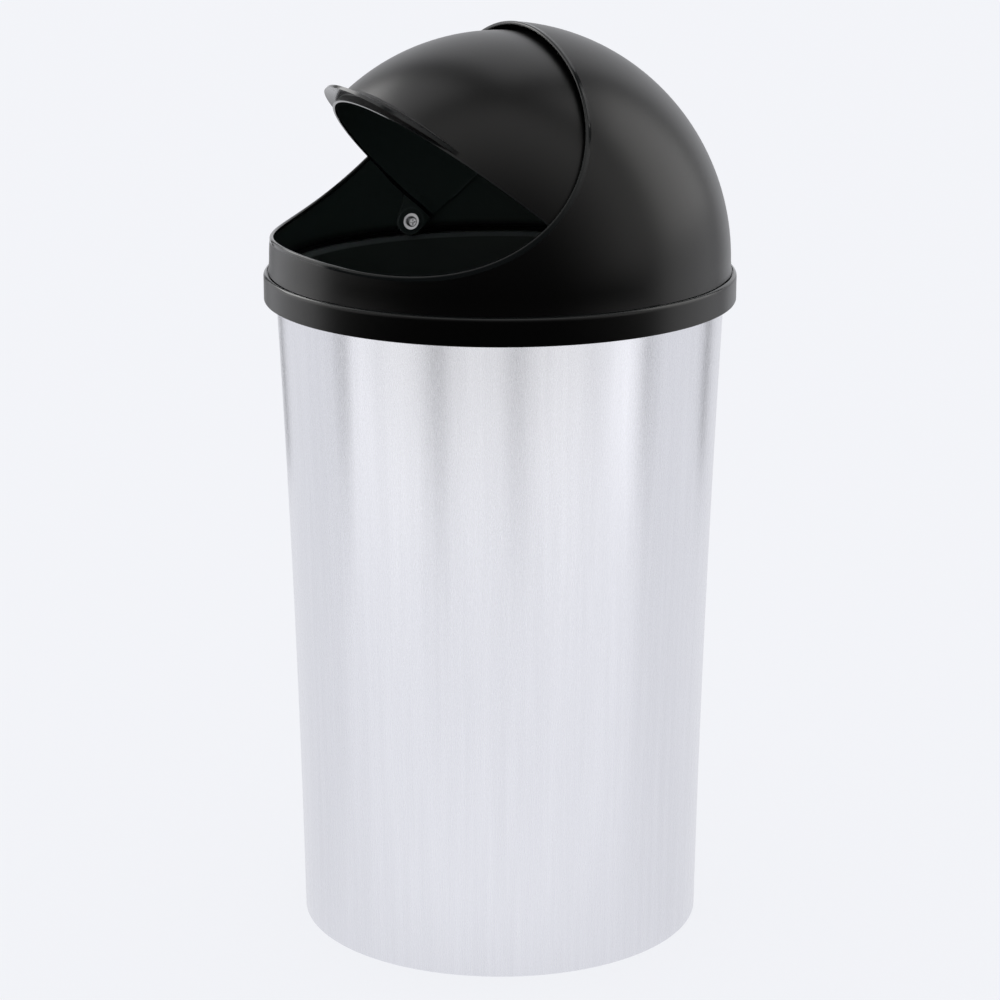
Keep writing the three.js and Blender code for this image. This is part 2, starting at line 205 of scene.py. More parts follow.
def only(piece):
    """Select one piece and nothing else."""
    bpy.ops.object.select_all(action="DESELECT")
    piece.select_set(True)
    bpy.context.view_layer.objects.active = piece


def edit_mode(piece, kind="VERT"):
    only(piece)
    bpy.ops.object.mode_set(mode="EDIT")
    bpy.ops.mesh.select_mode(type=kind)


def object_mode():
    bpy.ops.object.mode_set(mode="OBJECT")


def settle(piece):
    """Leave the object at the origin, with its place in its mesh."""
    only(piece)
    bpy.ops.object.transform_apply(location=True, rotation=True, scale=True)
    return piece


def trace(name, points):
    """Draw a line of edges through (x, y, z) points in millimetres."""
    bpy.ops.object.select_all(action="DESELECT")
    points = [Vector(p) * MM for p in points]
    bpy.ops.mesh.primitive_plane_add(size=MM, location=points[0])
    piece = bpy.context.object
    piece.name = name
    edit_mode(piece)
    bpy.ops.mesh.select_all(action="SELECT")
    bpy.ops.mesh.merge(type="CENTER")
    for before, after in zip(points, points[1:]):
        bpy.ops.mesh.extrude_region_move(TRANSFORM_OT_translate={"value": after - before})
    object_mode()
    return piece


def tidy_shell():
    """In edit mode: weld the seam and poles, and turn the faces outwards."""
    bpy.ops.mesh.select_all(action="SELECT")
    bpy.ops.mesh.remove_doubles(threshold=1e-6)
    bpy.ops.mesh.dissolve_degenerate(threshold=1e-7)
    bpy.ops.mesh.normals_make_consistent(inside=False)


def spun(piece, steps, centre, axis):
    """Spin a line of edges into a closed shell."""
    edit_mode(piece)
    bpy.ops.mesh.select_all(action="SELECT")
    bpy.ops.mesh.spin(steps=steps, angle=2 * math.pi, center=centre, axis=axis)
    tidy_shell()
    object_mode()
    return settle(piece)


def turned(name, points, steps=FINE):
    """Spin a closed (radius, height) outline about Z."""
    piece = trace(name, [(r, 0, z) for r, z in points])
    return spun(piece, steps, (0, 0, 0), (0, 0, 1))


def turned_on_pivot(name, points, steps=SMALL):
    """Spin a closed (radius, x) outline about the pivot line."""
    piece = trace(name, [(x, 0, PIVOT_Z + r) for r, x in points])
    return spun(piece, steps, (0, 0, PIVOT_Z * MM), (1, 0, 0))


def bar(name, radius, depth, centre, steps=MEDIUM):
    """A bar along X, as a cutter or a boss."""
    bpy.ops.object.select_all(action="DESELECT")
    bpy.ops.mesh.primitive_cylinder_add(
        vertices=steps, radius=radius * MM, depth=depth * MM,
        location=Vector(centre) * MM, rotation=(0, math.pi / 2, 0))
    piece = bpy.context.object
    piece.name = name
    return settle(piece)


def combine(piece, tool, operation):
    """Cut, join or intersect with a tool, which is used up."""
    only(piece)
    boolean = piece.modifiers.new("combine", "BOOLEAN")
    boolean.operation = operation
    boolean.solver = "EXACT"
    boolean.object = tool
    bpy.ops.object.modifier_apply(modifier=boolean.name)
    bpy.data.objects.remove(tool)


def select_edges(piece, wanted):
    """Select the edges whose two ends both pass a test on their place in millimetres."""
    mesh = piece.data
    edit_mode(piece, "EDGE")
    bpy.ops.mesh.select_all(action="DESELECT")
    object_mode()
    passed = [wanted(*(v.co / MM)) for v in mesh.vertices]
    for edge in mesh.edges:
        edge.select = passed[edge.vertices[0]] and passed[edge.vertices[1]]
    edit_mode(piece, "EDGE")


def round_sharp(piece, width, wanted, weld, sharpness=35, segments=3):
    """Round the sharp edges that pass a test, after corners that lie close are welded."""
    def pick():
        select_edges(piece, wanted)
        object_mode()
        sharp = sharp_edges(piece, sharpness)
        for edge in piece.data.edges:
            edge.select = edge.select and edge.index in sharp
        for polygon in piece.data.polygons:
            polygon.select = False
        edit_mode(piece, "EDGE")
    pick()
    bpy.ops.mesh.remove_doubles(threshold=weld * MM)
    object_mode()
    pick()
    bpy.ops.mesh.bevel(
        offset=width * MM, offset_type="OFFSET", segments=segments, profile=0.5,
        affect="EDGES", clamp_overlap=True, loop_slide=True, miter_outer="SHARP")
    object_mode()


def bead(name, points, radius, shares=None):
    """A round rod along a line, a loop or, with shares of its thickness, one with two ends."""
    piece = trace(name, points)
    edit_mode(piece)
    bpy.ops.mesh.select_all(action="SELECT")
    bpy.ops.mesh.remove_doubles(threshold=1e-6)
    object_mode()
    bpy.ops.object.convert(target="CURVE")
    line = bpy.context.object.data
    line.bevel_depth = radius * MM
    line.bevel_resolution = 4
    line.use_fill_caps = shares is not None
    for point, share in zip(line.splines[0].points, shares or [1] * len(points)):
        point.radius = share
    bpy.ops.object.convert(target="MESH")
    rod = bpy.context.object
    edit_mode(rod)
    tidy_shell()
    object_mode()
    return settle(rod)


def sharp_edges(piece, angle):
    """Indices of the edges whose two faces meet at more than an angle in degrees."""
    mesh = piece.data
    faces = {}
    for polygon in mesh.polygons:
        for key in polygon.edge_keys:
            faces.setdefault(key, []).append(polygon.normal)
    limit = math.cos(math.radians(angle))
    found = set()
    for edge in mesh.edges:
        normals = faces.get(edge.key, [])
        if len(normals) == 2 and normals[0].dot(normals[1]) < limit:
            found.add(edge.index)
    return found


def smooth(piece, angle=35):
    only(piece)
    bpy.ops.object.shade_smooth_by_angle(angle=math.radians(angle))
    weighted = piece.modifiers.new("even shading", "WEIGHTED_NORMAL")
    weighted.mode = "FACE_AREA_WITH_ANGLE"
    weighted.keep_sharp = True
    weighted.weight = 50
    bpy.ops.object.modifier_apply(modifier=weighted.name)
    return piece


def arc(centre, radius, start, end, steps):
    """(first, second) points on an arc, angles in degrees."""
    points = []
    for i in range(steps + 1):
        a = math.radians(start + (end - start) * i / steps)
        points.append((centre[0] + radius * math.cos(a), centre[1] + radius * math.sin(a)))
    return points


def dome_line(width, height, steps):
    """From the top of a dome down to its widest, as (radius, height) points."""
    return [(width * a, PIVOT_Z + height * b) for a, b in arc((0, 0), 1, 90, 0, steps)]


def sleeve_radius(z):
    t = (z - SLEEVE_LIFT) / (SLEEVE_TOP - SLEEVE_LIFT)
    taper = SLEEVE_BASE_RADIUS + (SLEEVE_TOP_RADIUS - SLEEVE_BASE_RADIUS) * t
    return taper - 4 * SLEEVE_WAIST * t * (1 - t)


def wall(start, end, inset, steps=24):
    heights = [start + (end - start) * i / steps for i in range(steps + 1)]
    return [(sleeve_radius(z) - inset, z) for z in heights]


# ---------- the sleeve ----------

def make_sleeve():
    """Rolled sheet: a curl at the top, a turned-in hem with a small bend at the bottom."""
    low = SLEEVE_LIFT
    out = sleeve_radius(low)
    curl = (CURL_CENTRE, SLEEVE_TOP)
    outline = [
        *wall(low + SHEET + HEM_CORNER, SLEEVE_TOP - CURL_RADIUS, SHEET),
        *arc(curl, CURL_RADIUS, 180, -90, 18),
        *arc(curl, CURL_RADIUS - SHEET, -90, 180, 12),
        *wall(SLEEVE_TOP - CURL_RADIUS, low + HEM_BEND, 0),
        *arc((out - HEM_BEND, low + HEM_BEND), HEM_BEND, 0, -90, 5)[1:],
        (out - HEM_WIDTH, low),
        (out - HEM_WIDTH, low + SHEET),
        (out - SHEET - HEM_CORNER, low + SHEET),
    ]
    sleeve = turned("steel_sleeve", [*outline, outline[0]])
    return smooth(sleeve, 40)


# ---------- the tub ----------

def make_tub():
    outside = SHEET + TUB_SLIP
    inside = outside + TUB_WALL
    corner = (sleeve_radius(TUB_FLOOR + TUB_CORNER) - outside - TUB_CORNER, TUB_FLOOR + TUB_CORNER)
    under = RIM_TOP - RIM_THICKNESS
    lip_low = RIM_TOP - RIM_LIP_DEPTH
    wall_top = RIM_TOP - RIM_BEVEL_DEPTH
    mouth = sleeve_radius(wall_top) - inside
    outline = [
        (0, TUB_FLOOR),
        *arc(corner, TUB_CORNER, 270, 360, 8),
        *wall(TUB_FLOOR + 2 * TUB_CORNER, under, outside, 12),
        (RIM_LIP_INNER, under),
        (RIM_LIP_INNER, lip_low),
        (RIM_RADIUS - 0.6, lip_low),
        (RIM_RADIUS, lip_low + 0.6),
        *arc((RIM_RADIUS - RIM_CORNER, RIM_TOP - RIM_CORNER), RIM_CORNER, 0, 90, 5),
        *arc((mouth + RIM_BEVEL_WIDTH + 0.4, RIM_TOP - 0.9), 0.9, 90, 135, 2),
        *arc((mouth + 0.9, wall_top - 0.3), 0.9, 135, 180, 2),
        *wall(wall_top - 1.0, TUB_FLOOR + 2 * TUB_CORNER, inside, 12),
        *arc(corner, TUB_CORNER - TUB_WALL, 360, 270, 8),
        (0, TUB_FLOOR + TUB_WALL),
    ]
    tub = turned("black_tub", outline)
    return smooth(tub, 40)


# ---------- the hood ----------

def make_hood():
    steps = 48
    inner = HOOD_RADIUS - HOOD_WALL
    foot = HOOD_RADIUS + HOOD_DRAFT * (PIVOT_Z - BAND_TOP)
    groove = BAND_TOP - GROOVE_DEPTH
    shoulder = foot + GROOVE_WIDTH
    outline = [
        *dome_line(HOOD_RADIUS, HOOD_RISE, steps),
        (foot - 0.3, BAND_TOP + 2.4),
        (foot, BAND_TOP + 0.6),
        (foot + 0.15, groove),
        (shoulder - 0.15, groove),
        (shoulder, BAND_TOP - 0.7),
        *arc((BAND_RADIUS - BAND_CORNER, BAND_TOP - BAND_CORNER), BAND_CORNER, 78, 0, 6),
        (BAND_RADIUS, BAND_BOTTOM + BAND_EDGE),
        (BAND_RADIUS - 0.25, BAND_BOTTOM + 0.25),
        (BAND_RADIUS - BAND_EDGE, BAND_BOTTOM),
        (BAND_INNER + 0.4, BAND_BOTTOM),
        (BAND_INNER, BAND_BOTTOM + 0.4),
        (BAND_INNER, SEAT_Z),
        (inner + HOOD_DRAFT * (PIVOT_Z - SEAT_Z), SEAT_Z),
        *dome_line(inner, HOOD_RISE - HOOD_WALL, steps)[::-1],
    ]
    hood = turned("dome_hood", outline)
    for side in (-1, 1):
        root = inner + HOOD_WALL / 2
        middle = side * (BOSS_FACE + root) / 2
        boss = bar("boss", BOSS_RADIUS, root - BOSS_FACE, (middle, 0, PIVOT_Z), SMALL)
        combine(hood, boss, "UNION")
        middle = side * (BOSS_FACE + SCREW_HOLE_MIDDLE)
        hole = bar("hole", SCREW_HOLE_RADIUS, SCREW_HOLE_LENGTH, (middle, 0, PIVOT_Z), SMALL)
        combine(hood, hole, "DIFFERENCE")
    mouth = bar("mouth", MOUTH_RADIUS + MOUTH_BEAD, 500, (0, MOUTH_Y, MOUTH_Z), FINE)
    combine(hood, mouth, "DIFFERENCE")
    combine(hood, bead("mouth bead", mouth_line(), MOUTH_BEAD), "UNION")
    return smooth(hood)


def mouth_line():
    """The middle of the mouth's beaded edge: a bar's surface through a dome inside the wall."""
    deep = HOOD_RADIUS + BEAD_PROUD - MOUTH_BEAD
    flatten = HOOD_RADIUS / HOOD_RISE
    radius = MOUTH_RADIUS + MOUTH_BEAD

    def spare(turn):
        y = MOUTH_Y + radius * math.cos(turn)
        z = MOUTH_Z + radius * math.sin(turn)
        return deep ** 2 - y ** 2 - ((z - PIVOT_Z) * flatten) ** 2, y, z
    ends = []
    for outside, inside in ((-2.2, -1.0), (0.6, -0.2)):
        for _ in range(50):
            middle = (outside + inside) / 2
            if spare(middle)[0] > 0:
                inside = middle
            else:
                outside = middle
        ends.append(inside)
    half = []
    for i in range(121):
        share = (1 - math.cos(math.pi * i / 120)) / 2
        left, y, z = spare(ends[0] + (ends[1] - ends[0]) * share)
        half.append((math.sqrt(max(left, 0)), y, z))
    half[0] = (0, *half[0][1:])
    half[-1] = (0, *half[-1][1:])
    return half + [(-x, y, z) for x, y, z in half[-2::-1]]


# ---------- the flap ----------

def touch(point, radius, side):
    """Where a line from a point touches a circle about the pivot, in degrees."""
    reach = math.hypot(*point)
    return math.degrees(math.atan2(point[1], point[0]) + side * math.acos(radius / reach))


def flap_outline():
    """Side view of the flap about the pivot, as (y, z): front edge, ear, back edge."""
    tilt = math.radians(FLAP_TILT)
    back = math.radians(FLAP_BACK_ANGLE)
    far = 1.5 * FLAP_RADIUS
    foot = (FLAP_FRONT_OFFSET * math.sin(tilt), FLAP_FRONT_OFFSET * math.cos(tilt))

    def along(distance, lift=0):
        return (foot[0] - distance * math.cos(tilt) + lift * math.sin(tilt),
                foot[1] + distance * math.sin(tilt) + lift * math.cos(tilt))
    neck = along(EAR_NECK)
    corner = (FLAP_BACK_REACH, FLAP_BACK_RISE)
    back_end = (corner[0] + far * math.cos(back), corner[1] + far * math.sin(back))
    front_end = along(far, FLAP_BEAD)
    ear_start = touch(neck, EAR_RADIUS, 1)
    ear_end = touch(corner, EAR_RADIUS, -1) + 360
    ear = arc((0, 0), EAR_RADIUS, ear_start, ear_end, 24)
    beyond = (front_end[0] + back_end[0], front_end[1] + back_end[1])
    start, end = FLAP_BEAD_SPAN
    edge = [along(s, FLAP_BEAD * bead_share(s)) for s in (end, (start + end) / 2, start)]
    return [front_end, *edge, neck, *ear, corner, back_end, beyond]


def bead_share(distance):
    """How thick the bead of the front edge is, from 0 near the ears to 1."""
    start, end = FLAP_BEAD_SPAN
    return min(max((distance - start) / (end - start), 0), 1)


def front_line():
    """The middle of the flap's front bead, with each point's share of its thickness."""
    tilt = math.radians(FLAP_TILT)
    widest = math.acos(FLAP_BEAD_SPAN[0] / FLAP_RADIUS)
    points, shares = [], []
    for i in range(161):
        turn = widest * (2 * i / 160 - 1)
        share = max(bead_share(FLAP_RADIUS * math.cos(turn)), 0.15)
        thick = FLAP_BEAD * share
        lift = FLAP_FRONT_OFFSET + thick
        reach = math.sqrt((FLAP_RADIUS + 0.1 - thick) ** 2 - lift ** 2)
        ahead = reach * math.cos(turn)
        points.append((
            reach * math.sin(turn),
            lift * math.sin(tilt) - ahead * math.cos(tilt),
            PIVOT_Z + lift * math.cos(tilt) + ahead * math.sin(tilt)))
        shares.append(share)
    return points, shares


def slab(name, points, depth, shift=(0, 0, 0)):
    """Fill an outline of (x, y, z) points and extrude it by a vector, all in millimetres."""
    piece = trace(name, [*points, points[0]])
    edit_mode(piece)
    bpy.ops.mesh.select_all(action="SELECT")
    bpy.ops.mesh.remove_doubles(threshold=1e-6)
    bpy.ops.mesh.edge_face_add()
    bpy.ops.mesh.extrude_region_move(TRANSFORM_OT_translate={"value": Vector(depth) * MM})
    bpy.ops.mesh.select_all(action="SELECT")
    bpy.ops.mesh.normals_make_consistent(inside=False)
    object_mode()
    return settle(piece)


def ball_with_flats(name, radius, flat_face):
    start = math.degrees(math.asin((EAR_FLAT + EAR_BLEND) / radius))
    outline = [
        (0, flat_face),
        (EAR_FLAT, flat_face),
        *arc((0, 0), radius, 90 - start, start - 90, 88),
        (EAR_FLAT, -flat_face),
        (0, -flat_face),
    ]
    return turned_on_pivot(name, outline, FINE)


def make_lip():
    """A sloping ring on its own tilted axis, cut to a crescent by a round bar set ahead of it."""
    section = math.sqrt(FLAP_RADIUS ** 2 - LIP_RISE ** 2)
    end = math.sqrt(section ** 2 - LIP_HALF_SPAN ** 2)
    depth = section + LIP_REACH - end
    sweep = (LIP_HALF_SPAN ** 2 + depth ** 2) / (2 * depth)
    ahead = section + LIP_REACH - sweep
    slope = math.radians(LIP_SLOPE)
    thick = LIP_WALL / math.cos(slope)
    root = section - LIP_ROOT
    edge = section + LIP_REACH + 2

    def top(radius):
        return LIP_RISE - (radius - section) * math.tan(slope)
    outline = [
        (root, top(root) - thick), (edge, top(edge) - thick), (edge, top(edge)), (root, top(root))]
    lip = turned("lip", [*outline, outline[0]])
    bpy.ops.object.select_all(action="DESELECT")
    bpy.ops.mesh.primitive_cylinder_add(
        vertices=FINE, radius=sweep * MM, depth=4 * LIP_REACH * MM, location=(0, ahead * MM, 0))
    combine(lip, settle(bpy.context.object), "INTERSECT")
    lip.rotation_euler = (math.radians(LIP_TILT), 0, math.pi)
    lip.location = (0, 0, PIVOT_Z * MM)
    return settle(lip)


def make_flap():
    flap = ball_with_flats("roll_back_flap", FLAP_RADIUS, EAR_FACE)
    side = [(-200, y, PIVOT_Z + z) for y, z in flap_outline()]
    combine(flap, slab("side view", side, (400, 0, 0)), "INTERSECT")
    hollow = ball_with_flats("hollow", FLAP_RADIUS - FLAP_WALL, EAR_FACE - EAR_WALL)
    combine(flap, hollow, "DIFFERENCE")
    bore = bar("bore", SHOULDER_RADIUS + SEAT_GAP, 400, (0, 0, PIVOT_Z), SMALL)
    combine(flap, bore, "DIFFERENCE")

    def off_bore(x, y, z):
        return math.hypot(y, z - PIVOT_Z) > SHOULDER_RADIUS + 2
    round_sharp(flap, 0.5, off_bore, weld=0.7)
    points, shares = front_line()
    combine(flap, bead("front bead", points, FLAP_BEAD, shares), "UNION")
    combine(flap, make_lip(), "UNION")

    def on_lip(x, y, z):
        return math.hypot(x, y, z - PIVOT_Z) > FLAP_RADIUS + 1.2
    round_sharp(flap, LIP_ROUND, on_lip, weld=0.9)
    return smooth(flap)


# ---------- the pivots ----------

def make_washer(name, side, radius, span):
    hole = SHOULDER_RADIUS + SEAT_GAP
    edge = 0.25
    low, high = span
    outline = [
        (hole, low + edge), (hole + edge, low), (radius - edge, low), (radius, low + edge),
        (radius, high - edge), (radius - edge, high), (hole + edge, high), (hole, high - edge),
        (hole, low + edge),
    ]
    placed = [(r, side * x) for r, x in outline]
    return smooth(turned_on_pivot(f"{name}_{side_name(side)}", placed), 30)


def side_name(side):
    return "right" if side > 0 else "left"


def make_screw(side):
    """A pan head with a cross recess, over a shoulder and a thread."""
    face, seat = HEAD
    outline = [
        (0, face),
        (HEAD_RADIUS - HEAD_CROWN, face + 0.1),
        *arc((HEAD_RADIUS - HEAD_CROWN, face + HEAD_CROWN + 0.1), HEAD_CROWN, -75, 0, 6),
        (HEAD_RADIUS, seat - 0.2),
        (HEAD_RADIUS - 0.2, seat),
        (SHOULDER_RADIUS, seat),
        (SHOULDER_RADIUS, BOSS_FACE - SEAT_GAP),
        (THREAD_RADIUS, BOSS_FACE - SEAT_GAP),
    ]
    for turn in range(THREAD_TURNS):
        start = BOSS_FACE + 0.2 + THREAD_PITCH * turn
        outline += [(THREAD_RADIUS, start), (THREAD_ROOT, start + THREAD_PITCH / 2)]
    end = BOSS_FACE + THREAD_LENGTH
    outline += [(THREAD_RADIUS - 0.1, end - 0.3), (THREAD_RADIUS - 0.5, end), (0, end)]
    placed = [(r, side * x) for r, x in outline]
    screw = turned_on_pivot(f"shoulder_screw_{side_name(side)}", placed)
    for width, length in ((RECESS_WIDTH, RECESS_LENGTH), (RECESS_LENGTH, RECESS_WIDTH)):
        bpy.ops.object.select_all(action="DESELECT")
        bpy.ops.mesh.primitive_cube_add(
            size=MM, location=(side * (face + 0.4) * MM, 0, PIVOT_Z * MM))
        blade = bpy.context.object
        edit_mode(blade)
        bpy.ops.transform.resize(value=(RECESS_DEPTH, width, length))
        bpy.ops.mesh.bevel(offset=0.15 * MM, segments=1, affect="EDGES")
        object_mode()
        combine(screw, settle(blade), "DIFFERENCE")
    return smooth(screw, 30)


# ---------- the feet ----------

def make_foot(node):
    low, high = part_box(node)
    centre = (low + high) / 2 / MM
    outline = [
        (0, 0),
        (FOOT_RADIUS - 4 * FOOT_ROUND, 0),
        (FOOT_RADIUS - FOOT_ROUND, 0),
        *arc((FOOT_RADIUS - FOOT_ROUND, FOOT_ROUND), FOOT_ROUND, -60, 0, 3),
        *arc((FOOT_RADIUS - 0.5, FOOT_TOP - 0.5), 0.5, 0, 90, 3),
        (FOOT_STEM_RADIUS, FOOT_TOP),
        (FOOT_STEM_RADIUS, FOOT_BARB_Z),
        (FOOT_BARB_RADIUS, FOOT_BARB_Z),
        (FOOT_BARB_RADIUS - 0.2, FOOT_BARB_Z + 0.6),
        (FOOT_STEM_RADIUS, FOOT_STEM_TOP),
        (0, FOOT_STEM_TOP),
    ]
    foot = turned(f"rubber_{node}", outline, SMALL)
    edit_mode(foot)
    bpy.ops.mesh.select_all(action="SELECT")
    bpy.ops.transform.translate(value=(centre.x * MM, centre.y * MM, 0))
    object_mode()
    return smooth(foot, 30)


# ---------- shader maths ----------

class Link:
    """A shader socket that can be used in sums."""

    def __init__(self, paint, socket):
        self.paint = paint
        self.socket = socket

    def math(self, operation, other=0.0):
        return self.paint.node("ShaderNodeMath", {"operation": operation}, {0: self, 1: other})

    def __add__(self, other):
        return self.math("ADD", other)

    def __radd__(self, other):
        return self.math("ADD", other)

    def __mul__(self, other):
        return self.math("MULTIPLY", other)

    def __rmul__(self, other):
        return self.math("MULTIPLY", other)

    def __sub__(self, other):
        return self.math("SUBTRACT", other)

    def __rsub__(self, other):
        return self.paint.node("ShaderNodeMath", {"operation": "SUBTRACT"}, {0: other, 1: self})


class Paint:
    """A material made of nodes, with one shader at its end."""

    def __init__(self, name):
        self.material = bpy.data.materials.new(name)
        self.material.use_nodes = True
        self.tree = self.material.node_tree
        self.tree.nodes.clear()
        self.output = self.tree.nodes.new("ShaderNodeOutputMaterial")

    def node(self, kind, settings=None, values=None, out=0):
        made = self.tree.nodes.new(kind)
        for name, value in (settings or {}).items():
            setattr(made, name, value)
        for name, value in (values or {}).items():
            if isinstance(value, Link):
                self.tree.links.new(value.socket, made.inputs[name])
            else:
                made.inputs[name].default_value = value
        return Link(self, made.outputs[out])

    def place(self, scale=(1, 1, 1)):
        """Object coordinates in metres, scaled."""
        place = self.node("ShaderNodeTexCoord", out="Object")
        return self.node("ShaderNodeMapping", values={"Vector": place, "Scale": scale})

    def noise(self, scale, stretch=(1, 1, 1), detail=3.0, rough=0.5):
        return self.node("ShaderNodeTexNoise", values={
            "Vector": self.place(stretch), "Scale": scale, "Detail": detail, "Roughness": rough})

    def span(self, value, low, high):
        """0 to 1 as a number goes from low to high."""
        return self.node("ShaderNodeMapRange", {"interpolation_type": "SMOOTHSTEP"}, {
            "Value": value, "From Min": low, "From Max": high, "To Min": 0.0, "To Max": 1.0})

    def strip(self, value, low, full_low, full_high, high):
        """1 between the two inner numbers, falling to 0 at the two outer ones."""
        return self.span(value, low, full_low) * self.span(value, high, full_high)

    def dot(self, place, way):
        return self.node(
            "ShaderNodeVectorMath", {"operation": "DOT_PRODUCT"}, {0: place, 1: way}, out="Value")

    def length(self, *steps):
        """The length of Object coordinates after a few steps of vector maths."""
        place = self.node("ShaderNodeTexCoord", out="Object")
        for step, vector in steps:
            place = self.node("ShaderNodeVectorMath", {"operation": step}, {0: place, 1: vector})
        return self.node("ShaderNodeVectorMath", {"operation": "LENGTH"}, {0: place}, out="Value")

    def reach(self, flatten):
        """Distance in millimetres from the middle of the pivot line, with heights multiplied.

        Where they are made smaller, as for the hood, what lies below the pivot line counts as level
        with it, because the hood's wall is upright there.
        """
        return self.length(
            ("SUBTRACT", (0, 0, PIVOT_Z * MM)), ("MULTIPLY", (1000, 1000, 1000 * flatten)),
            ("MAXIMUM", (-1000, -1000, 0 if flatten < 1 else -1000)))

    def off_axis(self, y, z):
        """Distance in millimetres from a line along X."""
        return self.length(("SUBTRACT", (0, y * MM, z * MM)), ("MULTIPLY", (0, 1000, 1000)))

    def along(self, direction, origin=(0, 0, 0)):
        """Distance in millimetres along a direction, from an origin in millimetres."""
        place = self.node("ShaderNodeTexCoord", out="Object")
        start = Vector(origin) * MM
        place = self.node("ShaderNodeVectorMath", {"operation": "SUBTRACT"}, {0: place, 1: start})
        return self.dot(place, Vector(direction).normalized() / MM)

    def between(self, amount, low, high):
        """A colour between two, by a number from 0 to 1."""
        low, high = (c if isinstance(c, Link) else (*c, 1) for c in (low, high))
        colours = {"Factor": amount, "A": low, "B": high}
        made = self.tree.nodes.new("ShaderNodeMix")
        made.data_type = "RGBA"
        for socket in made.inputs:
            value = colours.get(socket.name)
            if value is None or socket.type not in ("VALUE", "RGBA"):
                continue
            if socket.type == "VALUE" and socket.name != "Factor":
                continue
            if isinstance(value, Link):
                self.tree.links.new(value.socket, socket)
            else:
                socket.default_value = value
        return Link(self, next(s for s in made.outputs if s.type == "RGBA"))

    def bump(self, height, distance, strength=1.0):
        return self.node(
            "ShaderNodeBump", values={"Height": height, "Distance": distance, "Strength": strength},
            out="Normal")

    def finish(self, **sockets):
        values = {name.replace("_", " "): value for name, value in sockets.items()}
        shader = self.node("ShaderNodeBsdfPrincipled", values=values)
        self.tree.links.new(shader.socket, self.output.inputs["Surface"])
        return self.material


def brushed_steel():
    """Sheet with a fine vertical grain and slow streaks, a little cold."""
    paint = Paint("brushed steel")
    grain = paint.noise(2600.0, (1, 1, 0.012), 2.0, 0.6)
    streak = paint.noise(150.0, (1, 1, 0.02), 3.0, 0.55)
    cloud = paint.noise(9.0, (1, 1, 0.5), 2.0)
    tone = 0.5 + (grain - 0.5) * 0.5 + (streak - 0.5) * 0.5
    colour = paint.between(tone, (0.67, 0.67, 0.70), (0.83, 0.83, 0.86))
    rough = 0.27 + (grain - 0.5) * 0.10 + (cloud - 0.5) * 0.04
    bump = paint.bump(grain, 0.00002, 0.5)
    return paint.finish(
        Base_Color=colour, Metallic=1.0, Roughness=rough, Normal=bump)


def moulded_black(name, shade, rough, sheen_rough, areas=()):
    """Moulded plastic: a faint grain, uneven gloss, and areas of other colour and gloss; here those
    colours are painted fill light and painted highlights.
    """
    paint = Paint(name)
    grain = paint.noise(1400.0, detail=2.0)
    cloud = paint.noise(14.0, detail=3.0)
    colour = paint.between(cloud, [c * 0.85 for c in shade], [c * 1.15 for c in shade])
    roughness = rough + (cloud - 0.5) * sheen_rough
    for area, area_shade, area_rough in areas:
        share = area(paint)
        colour = paint.between(share, colour, area_shade)
        roughness = roughness * (1 - share) + share * area_rough
    roughness = roughness + (grain - 0.5) * 0.05
    bump = paint.bump(grain, 0.00003, 0.35)
    return paint.finish(
        Base_Color=colour, Roughness=roughness, Normal=bump, Specular_Tint=(1.0, 0.975, 0.925, 1))


# mask of the hood's inner surface, which gets the painted fill light colour
def hood_inside(paint):
    middle = HOOD_RADIUS - HOOD_INSIDE_DEPTH
    return paint.span(paint.reach(HOOD_RADIUS / HOOD_RISE), middle + 0.4, middle - 0.4)


def hood_edges(paint):
    """The mouth's bead and the shoulder of the band, made glossier and given a faint painted
    highlight by a lighter colour.
    """
    off_axis = paint.off_axis(MOUTH_Y, MOUTH_Z)
    rim = MOUTH_RADIUS + 2 * MOUTH_BEAD
    height = paint.along((0, 0, 1))
    shoulder = paint.strip(
        height, BAND_TOP - 1.7, BAND_TOP - 1.2, BAND_TOP + 0.2, BAND_TOP + 0.8)
    return paint.span(off_axis, rim + 0.3, rim - 0.1).math("MAXIMUM", shoulder)


# mask of the flap's inner surface, which gets the painted fill light colour
def flap_inside(paint):
    middle = FLAP_RADIUS - FLAP_INSIDE_DEPTH
    return paint.span(paint.reach(1.0), middle + 0.4, middle - 0.4)


def flap_edges(paint):
    """The flap's front bead and the handle lip, made glossier and given a faint painted highlight
    by a lighter colour.
    """
    tilt = math.radians(FLAP_TILT)
    front = paint.along((0, math.sin(tilt), math.cos(tilt)), (0, 0, PIVOT_Z)) - FLAP_FRONT_OFFSET
    bead_strip = paint.strip(front, -0.6, -0.3, 2 * FLAP_BEAD - 0.1, 2 * FLAP_BEAD + 0.3)
    lip = paint.span(paint.reach(1.0), FLAP_RADIUS + 0.6, FLAP_RADIUS + 1.2)
    return bead_strip.math("MAXIMUM", lip)


def flap_thin_edges(paint):
    """The flap's back edge and the round ends of its ears, where a lighter grey is a painted
    highlight.
    """
    back = math.radians(FLAP_BACK_ANGLE)
    behind = paint.along(
        (0, -math.sin(back), math.cos(back)), (0, FLAP_BACK_REACH, PIVOT_Z + FLAP_BACK_RISE))
    edge = paint.strip(behind, -0.6, -0.3, 0.8, 1.2)
    ear = paint.strip(
        paint.off_axis(0, PIVOT_Z),
        EAR_RADIUS - 1.0, EAR_RADIUS - 0.7, EAR_RADIUS + 0.3, EAR_RADIUS + 0.6)
    return edge.math("MAXIMUM", ear)


def tub_edges(paint):
    """The top of the tub's rim, where a lighter grey is a painted highlight."""
    return paint.span(paint.along((0, 0, 1)), RIM_TOP - 4.0, RIM_TOP - 3.4)


